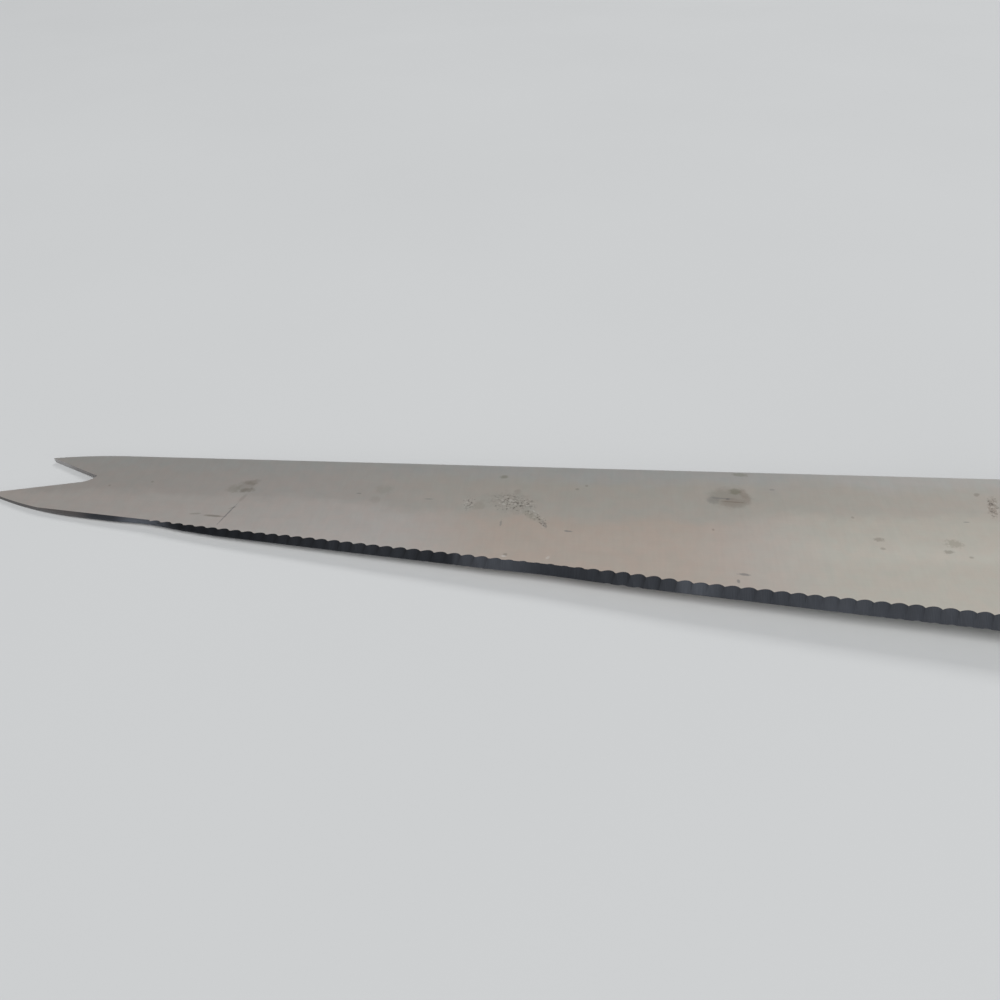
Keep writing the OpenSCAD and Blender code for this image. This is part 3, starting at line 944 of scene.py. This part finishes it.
def fluted_steel_with_painted_reflection():
    """Coarse ground steel of the flutes, with grinding lines down the bevel; its dark colour and its paler
    and darker stretches are painted reflection.
    """
    flutes = KnifeSurface("Ground Flute Steel With Painted Reflection")
    grind = flutes.grain(flutes.vector, (0.10, 3.0, 3.0), 4.0, 0.6)
    patch = flutes.grain(flutes.vector, (14.0, 9.0, 9.0), 2.0)
    # Painted reflection near the point: the ground edge of the lower point and the walls of the notch
    notch = flutes.blend(flutes.along_blade(11.5, 8.5), NOTCH_ROOT_REFLECTION, NOTCH_TIP_REFLECTION)
    base = flutes.blend(flutes.remap(flutes.axes["Y"], -9.5, -8.0), POINT_GRIND_REFLECTION, notch)
    # Painted reflection: paler and darker stretches of the flutes along the edge
    for begin, end, level in FLUTE_REFLECTION_LEVELS:
        base = flutes.blend(flutes.along_blade(begin, end), base, tinted(finish_colours().flute, level))
    uneven = flutes.plus(grind, flutes.minus(patch, 0.5))
    base = flutes.shaded(base, flutes.remap(uneven, 0.3, 0.7, 0.86, 1.12))
    flutes.give({"Base Color": base, "Metallic": 1.0, "Roughness": flutes.weighed(0.48, (grind, 0.12))})
    flutes.bump(grind, 0.02 * MM, 0.5)
    return flutes.material


def polished_steel(name, roughness):
    """Polished steel of the bolsters and pins, with hair lines and light wear."""
    bolster = finish_colours().bolster
    steel = KnifeSurface(name)
    lines = steel.grain(steel.vector, (7.0, 0.12, 0.12), 4.0, 0.6)
    cloud = steel.noise(steel.vector, 0.25)
    scratch = steel.remap(steel.grain(steel.vector, (2.2, 0.05, 0.3), 2.0, turn=radians(37)), 0.66, 0.72)
    base = steel.blend(steel.remap(cloud, 0.3, 0.7), tinted(bolster, 0.93), tinted(bolster, 1.06))
    base = steel.blend(steel.times(scratch, 0.25), base, (0.35, 0.34, 0.33))
    steel.give({"Base Color": base, "Metallic": 1.0,
                "Roughness": steel.weighed(roughness, (steel.plus(lines, cloud), 0.07), (scratch, 0.1))})
    steel.bump(steel.minus(steel.times(lines, 0.3), scratch), 0.006 * MM, 0.6)
    return steel.material


def oiled_wood():
    """Oiled dark hardwood: streaks along the handle, fine pores and a satin sheen worn at the grip."""
    colours = finish_colours()
    wood = KnifeSurface("Oiled Rosewood")
    bend = wood.grain(wood.vector, (60.0, 14.0, 14.0), 2.0)
    sway = wood.add("CombineXYZ", {1: wood.times(bend, 9.0), 2: wood.times(bend, 4.0)}).outputs[0]
    bent = wood.add("VectorMath", {0: wood.vector, 1: sway}).outputs[0]
    rings = wood.grain(bent, (75.0, 2.6, 3.4), 4.0, 0.6)
    streaks = wood.grain(bent, (30.0, 0.7, 0.8), 4.0, 0.65)
    fibre = wood.grain(bent, (6.0, 0.16, 0.16), 3.0, 0.6)
    pores = wood.remap(wood.grain(wood.vector, (2.6, 0.13, 0.13), 2.0, 0.4), 0.64, 0.70)
    figure = wood.plus(wood.times(rings, 0.6), wood.times(streaks, 0.4))
    base = wood.blend(wood.remap(figure, 0.40, 0.62), tuple(colours.wood_dark), tuple(colours.wood_light))
    base = wood.blend(wood.remap(fibre, 0.35, 0.75, 0.0, 0.35), base, (0.30, 0.125, 0.055))
    base = wood.blend(wood.times(pores, 0.75), base, (0.012, 0.006, 0.004))
    sheen = wood.remap(wood.noise(wood.vector, 0.09), 0.35, 0.65, 0.34, 0.48)
    wood.give({"Base Color": base, "Roughness": wood.weighed(sheen, (pores, 0.25)),
               "Specular IOR Level": 0.45})
    wood.bump(wood.minus(wood.times(fibre, 0.3), pores), 0.05 * MM, 0.7)
    return wood.material


def worn_brass():
    """Brass ground flush, lightly tarnished, with turned and rubbed lines."""
    colours = finish_colours()
    brass = KnifeSurface("Worn Brass")
    lines = brass.grain(brass.vector, (4.0, 0.08, 0.2), 4.0, 0.6)
    patch = brass.noise(brass.vector, 0.5, 4.0, 0.65)
    dull = brass.remap(patch, 0.42, 0.72, 0.0, 0.75)
    base = brass.blend(dull, tuple(colours.brass), tuple(colours.tarnish))
    base = brass.blend(brass.remap(lines, 0.55, 0.75, 0.0, 0.25), base, (0.85, 0.70, 0.42))
    brass.give({"Base Color": base, "Metallic": 1.0, "Roughness": brass.weighed(0.2, (patch, 0.22))})
    brass.bump(lines, 0.01 * MM, 0.5)
    return brass.material


def table_top():
    """Plain pale matt surface."""
    table = finish_colours().table
    top = Surface("Pale Table")
    cloud = top.noise(top.add("TexCoord").outputs["Object"], 9.0)
    top.give({"Base Color": top.blend(cloud, tinted(table, 0.97), tinted(table, 1.03)), "Roughness": 0.9,
              "Specular IOR Level": 0.15})
    return top.material


# The cutters of the edge reach this far past it
CUT_REACH = 4 * MM
# A face is a ground one if it leans by half the bevel's angle and this much more, and towards the edge
GROUND_SLACK = radians(6)
GROUND_LEAN = 0.3
# Unevenness of the gullets' depth from tooth to tooth
UNEVEN = 0.09


class EdgeRow:
    """The row of teeth along the edge: where each one begins, how many there are and how its grind runs."""

    def __init__(self):
        blade, teeth = blade_sizes(), teeth_sizes()
        self.angle = atan(edge_slope())
        self.first = -(blade.blade_l - teeth.plain_l) / cos(self.angle)
        self.count = int((-self.first - blade.heel_gap) / teeth.tooth_pitch) + 1
        self.bite = sin(teeth.bevel_angle)
        middle = blade.blade_l / 2
        bevel_l = 2 * half_thickness(-middle, edge_y(middle)) / self.bite
        self.rise = (1 - teeth.foot_share) * teeth.tooth_depth * self.bite
        self.fade = atan(self.rise / bevel_l)

    def place(self, i):
        """Where a tooth begins along the edge."""
        x = self.first + i * teeth_sizes().tooth_pitch
        return x + by_hand(TOOTH_DRIFT, blade_sizes().blade_l + x) * MM

    def wander(self, x):
        """How far the grind wanders outwards."""
        return -by_hand(RIM_WANDER, blade_sizes().blade_l + x) * MM * self.bite

    def flat_grind(self):
        """Outline of the flat grind over the plain edge and the worn points of the teeth."""
        blade, teeth = blade_sizes(), teeth_sizes()
        start, end = belly_length() / 2 - blade.blade_l, self.place(self.count)
        points = [(start, CUT_REACH), (start, -teeth.plain_cut), (self.place(0), -teeth.plain_cut)]
        for i in range(self.count + 1):
            x = self.place(i)
            points += [(x, self.wander(x) - teeth.tooth_wear - by_hand(WORN_TEETH, blade.blade_l + x) * MM)]
        return points + [(end, CUT_REACH)]

    def gullets(self):
        """Outline of the row of gullets, seen along them at the foot of the bevel."""
        blade, teeth = blade_sizes(), teeth_sizes()
        points = [(self.place(0), CUT_REACH)]
        for i in range(self.count):
            left, right = self.place(i), self.place(i + 1)
            middle, half = (left + right) / 2, (right - left) / 2
            uneven = 1 + by_hand(DEEP_TEETH, blade.blade_l + middle) + UNEVEN * sin(i * 2.4) * cos(i * 1.1)
            depth = teeth.tooth_depth * self.bite * uneven
            radius = (half ** 2 + depth ** 2) / 2 / depth
            turn = asin(half / radius)
            for a in arc_values(-turn, turn, teeth.facets)[min(i, 1):]:
                height = radius * (1 - cos(a))
                points += [(middle + radius * sin(a) + teeth.lean * half * (1 - height / depth),
                            height - depth + self.wander(middle) + self.rise)]
        return points + [(self.place(self.count), CUT_REACH)]


def edge_cutter(outline, lean, angle):
    """A cutter of an outline, run along the slope of the bevel and leaned against the edge."""
    blade = blade_sizes()
    cutter = plate("Edge cutter", outline, -2 * CUT_REACH, 2 * CUT_REACH)
    pick(cutter)
    cutter.matrix_world = (
        Matrix.Translation((0, 0, -blade.blade_t / 2))
        @ Matrix.Rotation(atan(slope_along()), 4, "Y") @ Matrix.Rotation(-atan(slope_across()), 4, "X")
        @ Matrix.Translation((0, -blade.heel_w, 0)) @ Matrix.Rotation(-angle, 4, "Z")
        @ Matrix.Rotation(pi / 2 + lean, 4, "X"))
    bpy.ops.object.transform_apply(location=True, rotation=True, scale=True)
    return cutter


def ground_blade():
    """The blade's plate, ground to its taper on both faces."""
    blade = blade_sizes()
    obj = plate("Blade", blade_outline(), -blade.blade_t / 2, blade.blade_t / 2)
    edit(obj)
    for side in (1, -1):
        bpy.ops.mesh.select_all(action="SELECT")
        bpy.ops.mesh.bisect(
            plane_co=(0, 0, side * blade.blade_t / 2), plane_no=(-slope_along(), -slope_across(), side),
            use_fill=True, clear_outer=True, threshold=1e-8,
        )
    face_outwards()
    return obj


def tang():
    """The full tang, with the outline of the handle."""
    blade = blade_sizes()
    xs = bolster_places() + scale_places()[1:]
    outline = [(x, centre_y(x) + half_width(x)) for x in xs]
    outline += [(x, centre_y(x) - half_width(x)) for x in reversed(xs)]
    return plate("Tang", outline, -blade.blade_t / 2, blade.blade_t / 2)


class KnifeBlade(bpy.types.Operator):
    """Models the blade with its fork, its scalloped teeth and its full tang"""
    bl_idname = "knife.blade"
    bl_label = "Blade"

    def execute(self, context):
        blade, teeth, handle = blade_sizes(), teeth_sizes(), handle_sizes()
        obj = ground_blade()
        combine(obj, tang(), "UNION")
        holes = [(p, handle.shank_d) for p in rivet_places()]
        holes += [(p, handle.bolster_pin_d) for p in bolster_pin_places()]
        holes += [(bore_place(), handle.bore_d + 2 * handle.eyelet_wall)]
        for place, diameter in holes:
            drill(obj, place, diameter + TANG_PLAY, -blade.blade_t, blade.blade_t)
        row = EdgeRow()
        combine(obj, edge_cutter(row.flat_grind(), teeth.bevel_angle, row.angle), "DIFFERENCE")
        combine(obj, edge_cutter(row.gullets(), teeth.bevel_angle - row.fade, row.angle), "DIFFERENCE")
        finish_piece(obj, ["blade"], [satin_steel(), fluted_steel_with_painted_reflection()], BLADE_SMOOTH)
        unlay = knife_placement().inverted()
        tilt, level = unlay.to_3x3(), cos(teeth.bevel_angle / 2 + GROUND_SLACK)
        for polygon in obj.data.polygons:
            normal, place = tilt @ polygon.normal, unlay @ polygon.center
            if normal.z < level and normal.y < -GROUND_LEAN and place.x < -blade.heel_gap:
                polygon.material_index = 1
        return {"FINISHED"}


def loft(name, places):
    """One left side of the handle: a section drawn, then extruded, moved and resized from place to place."""
    base = blade_sizes().blade_t / 2
    obj = trace(name, crown_outline(places[0]))
    sections = [section(x) for x in places]
    for before, now in zip(sections, sections[1:]):
        extrude((now[0] - before[0], now[1] - before[1], 0))
        bpy.ops.transform.resize(
            value=(1, now[2] / before[2], now[3] / before[3]), center_override=(now[0], now[1], base))
    face_outwards()
    return obj


# The space over a side begins and ends this far inside the side
SPACE_INSET = 0.5 * MM


def above_crown(name, places):
    """The space over the left side of the handle, which trims what stands proud of it."""
    blade, handle = blade_sizes(), handle_sizes()
    solid = loft(name + " form", places)
    edit(solid)
    bpy.ops.transform.translate(value=(0, 0, -FLUSH_INSET))
    face_outwards()
    low, high = places[0] + SPACE_INSET, min(places[-1], end_x()) - SPACE_INSET
    foot, top = -2 * handle.neck_w, handle.neck_w
    corners = [(low, foot), (high, foot), (high, top), (low, top)]
    space = plate(name, corners, blade.blade_t / 2 + FOOT, blade.blade_t / 2 + 2 * handle.grip_t)
    combine(space, solid, "DIFFERENCE")
    return space


class KnifeBolsters(bpy.types.Operator):
    """Models the two steel bolsters"""
    bl_idname = "knife.bolsters"
    bl_label = "Bolsters"

    def execute(self, context):
        handle, base = handle_sizes(), blade_sizes().blade_t / 2
        left = loft("Bolster_left", bolster_places())
        for place in bolster_pin_places():
            drill(left, place, handle.bolster_pin_d + SIDE_PLAY, 0, 3 * handle.neck_t)
        soften(left, handle.seam_ease, 2, lambda middle: middle.z > base + FOOT
               and (middle.x < NEAR or middle.x > handle.bolster_l - NEAR))
        steel = polished_steel("Polished Bolster Steel", roughness=0.12)
        finish_both_sides(left, "Bolster", steel)
        return {"FINISHED"}


class KnifeScales(bpy.types.Operator):
    """Models the two wooden scales"""
    bl_idname = "knife.scales"
    bl_label = "Scales"

    def execute(self, context):
        handle, base = handle_sizes(), blade_sizes().blade_t / 2
        left = loft("Scale_left", scale_places())
        head_z, roof = base + handle.head_floor, 3 * handle.grip_t
        for place in rivet_places():
            drill(left, place, handle.shank_d + SIDE_PLAY, 0, roof)
            drill(left, place, handle.head_d + SIDE_PLAY, head_z, roof)
        drill(left, bore_place(), handle.bore_d + 2 * handle.eyelet_wall + SIDE_PLAY, 0, roof)
        last = scale_places()[-1]
        soften(left, handle.seam_ease, 2,
               lambda middle: middle.z > base + FOOT and middle.x < handle.bolster_l + NEAR)
        soften(left, END_EASE * handle.seam_ease, 3, lambda middle: middle.x > last - HAIR, END_SHARP)
        finish_both_sides(left, "Scale", oiled_wood())
        return {"FINISHED"}


def trimmed_rod(name, place, diameter, bottom, top, space):
    """A rod whose upper end follows the surface of the handle."""
    obj = rod(name, place, diameter, bottom, top, ROUND)
    combine(obj, space, "DIFFERENCE", keep=True)
    return obj


class KnifeRivets(bpy.types.Operator):
    """Models the three rivets, each a headed hollow shank and a headed pin"""
    bl_idname = "knife.rivets"
    bl_label = "Rivets"

    def execute(self, context):
        handle, base = handle_sizes(), blade_sizes().blade_t / 2
        head_z, roof = base + handle.head_floor, base + 1.5 * handle.grip_t
        space = above_crown("Space over the scale", scale_places())
        brass = worn_brass()
        for name, place in zip(("front", "middle", "rear"), rivet_places()):
            tube = trimmed_rod("Rivet_" + name + "_tube", place, handle.head_d, head_z, roof, space)
            combine(tube, rod("Shank", place, handle.shank_d, SHANK_GAP - head_z, head_z + OVERLAP), "UNION")
            drill(tube, place, handle.pin_d + PIN_PLAY, -head_z, handle.pin_l + SHANK_GAP - head_z)
            pin = trimmed_rod("Rivet_" + name + "_pin", place, handle.head_d, head_z, roof, space)
            mirror_through_tang(pin)
            combine(pin, rod("Shank", place, handle.pin_d, -head_z - OVERLAP, handle.pin_l - head_z), "UNION")
            for obj, part in ((tube, "tube"), (pin, "pin")):
                soften(obj, HEAD_EASE, 2, lambda middle: abs(middle.z) > head_z + HEAD_FOOT)
                finish_piece(obj, ["rivet_" + name + "_" + part], [brass])
        remove(space)
        return {"FINISHED"}


class KnifeBolsterPins(bpy.types.Operator):
    """Models the two pins through the bolsters"""
    bl_idname = "knife.bolster_pins"
    bl_label = "Bolster pins"

    def execute(self, context):
        handle = handle_sizes()
        space = above_crown("Space over the bolster", bolster_places())
        steel = polished_steel("Pin Steel", roughness=0.2)
        for name, place in zip(("upper", "lower"), bolster_pin_places()):
            pin = trimmed_rod("Bolster_pin_" + name, place, handle.bolster_pin_d, 0, 2 * handle.neck_t, space)
            other = duplicate(pin, "Other half")
            mirror_through_tang(other)
            combine(pin, other, "UNION")
            finish_piece(pin, ["bolster_pin_" + name], [steel])
        remove(space)
        return {"FINISHED"}


class KnifeEyelet(bpy.types.Operator):
    """Models the brass lining of the hanging hole"""
    bl_idname = "knife.eyelet"
    bl_label = "Eyelet"

    def execute(self, context):
        handle, base = handle_sizes(), blade_sizes().blade_t / 2
        place = bore_place()
        half = base + side_thickness(place[0]) - EYELET_INSET
        outer = handle.bore_d + 2 * handle.eyelet_wall
        obj = rod("Hanging_eyelet", place, outer, -half, half, ROUND)
        drill(obj, place, handle.bore_d, -2 * half, 2 * half, ROUND)

        def out_from_axis(middle):
            return (middle - Vector((*place, middle.z))).length

        soften(obj, BORE_EASE, 4, lambda middle: out_from_axis(middle) < handle.bore_d / 2 + NEAR)
        soften(obj, EYELET_EASE, 2, lambda middle: out_from_axis(middle) > outer / 2 - NEAR)
        finish_piece(obj, ["hanging_eyelet"], [worn_brass()])
        return {"FINISHED"}


# The camera stands in front of the edge and looks down across the blade, as in the photograph. Its place is
# in metres
CAMERA_PLACE = Vector((-0.0665351, -0.0813709, 0.0794774))
CAMERA_TURN = (radians(50.076), radians(1.6511), radians(6.9353))
PHOTO_FOCAL_PIXELS = 780
PHOTO_PIXELS = 1000
SENSOR = 36.0
CLIP_START = 5 * MM
TABLE_SIZE = 6.0
# Soft square lamps that face the knife: name, place, size, power and tint
LAMPS = (("Front lamp", (0.75, -1.86, 2.94), 1.5, 78, (1.0, 0.99, 0.975)),
         ("Back lamp", (0.30, 2.25, 2.34), 1.2, 32, (1.0, 0.99, 0.98)))


def studio_world():
    """Soft pale room, whose brighter ceiling and sides show in shiny surfaces."""
    world = bpy.data.worlds.new("Studio")
    bpy.context.scene.world = world
    world.use_nodes = True
    studio = Nodes(world.node_tree)
    axes = studio.split(studio.add("TexCoord").outputs["Generated"])
    # Light from each height: pale walls, a dimmer band above them, a bright ceiling, and all of it brighter
    # on the side of the handle
    walls = studio.remap(axes["Z"], 0.32, 0.0, 0.0, 0.12)
    ceiling = studio.remap(axes["Z"], 0.5, 1.0, 0.355, 0.85)
    level = studio.times(studio.plus(walls, ceiling), studio.remap(axes["X"], 0.08, 0.5, 1.0, 1.55))
    tint = studio.blend(studio.remap(axes["Z"], 0.4, 0.95), (1.0, 0.965, 0.92), (0.97, 0.985, 1.0))
    # What shiny surfaces see, what lights the rest, and what the camera sees
    path = studio.add("LightPath").outputs
    shiny = studio.maths("MAXIMUM", path["Is Glossy Ray"], path["Is Transmission Ray"])
    soft = studio.blend(studio.remap(axes["Y"], 0.15, -0.6), (0.16, 0.165, 0.175), (0.80, 0.81, 0.83))
    room = studio.blend(shiny, soft, studio.shaded(tint, level))
    room = studio.blend(path["Is Camera Ray"], room, (0.78, 0.79, 0.80))
    studio.link(room, studio.tree.nodes["Background"].inputs["Color"])


def lamp(name, place, size, power, tint):
    """A soft square lamp that faces the knife."""
    turn = (-Vector(place)).to_track_quat("-Z", "Y").to_euler()
    bpy.ops.object.light_add(type="AREA", location=place, rotation=turn)
    obj = named(name)
    obj.data.shape = "SQUARE"
    obj.data.size = size
    obj.data.energy = power
    obj.data.color = tint
    obj.visible_glossy = False


class KnifeStage(bpy.types.Operator):
    """Sets up the pale table, the soft light and the camera"""
    bl_idname = "knife.stage"
    bl_label = "Stage"

    def execute(self, context):
        deselect_all()
        bpy.ops.mesh.primitive_plane_add(size=TABLE_SIZE, location=(0, 0, 0))
        table = named("Table")
        edit(table)
        bpy.ops.mesh.subdivide(number_cuts=3)
        bpy.ops.object.mode_set(mode="OBJECT")
        table.data.materials.append(table_top())
        deselect_all()
        studio_world()
        for values in LAMPS:
            lamp(*values)
        bpy.ops.object.camera_add(location=CAMERA_PLACE, rotation=CAMERA_TURN)
        camera = bpy.context.object
        camera.data.sensor_width = SENSOR
        camera.data.lens = SENSOR * PHOTO_FOCAL_PIXELS / PHOTO_PIXELS
        camera.data.clip_start = CLIP_START
        context.scene.camera = camera
        context.scene.view_settings.view_transform = "Standard"
        return {"FINISHED"}


class KnifePanel(bpy.types.Panel):
    """Lists the pieces of the knife"""
    bl_idname = "KNIFE_PT_pieces"
    bl_label = "Carving Knife"
    bl_space_type = "VIEW_3D"
    bl_region_type = "UI"
    bl_category = "Knife"

    def draw(self, context):
        column = self.layout.column()
        for operator in OPERATORS:
            column.operator(operator.bl_idname)
        for group in GROUPS:
            values = getattr(context.scene, group)
            box = self.layout.box()
            for name in values.__annotations__:
                box.prop(values, name)


GROUPS = {"knife_blade": KnifeBladeSizes, "knife_teeth": KnifeTeethSizes, "knife_handle": KnifeHandleSizes,
          "knife_finish": KnifeFinish}
OPERATORS = (KnifeStage, KnifeBlade, KnifeBolsters, KnifeBolsterPins, KnifeScales, KnifeRivets, KnifeEyelet)


def register():
    """Registers the sizes, the operators and the panel."""
    for made in (*GROUPS.values(), *OPERATORS, KnifePanel):
        bpy.utils.register_class(made)
    for name, group in GROUPS.items():
        setattr(bpy.types.Scene, name, PointerProperty(type=group))


def unregister():
    """Takes everything out again."""
    for name in GROUPS:
        delattr(bpy.types.Scene, name)
    for made in reversed((*GROUPS.values(), *OPERATORS, KnifePanel)):
        bpy.utils.unregister_class(made)


def main():
    """Makes the scene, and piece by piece."""
    register()
    for operator in OPERATORS:
        group, name = operator.bl_idname.split(".")
        getattr(getattr(bpy.ops, group), name)()


if __name__ == "__main__":
    main()
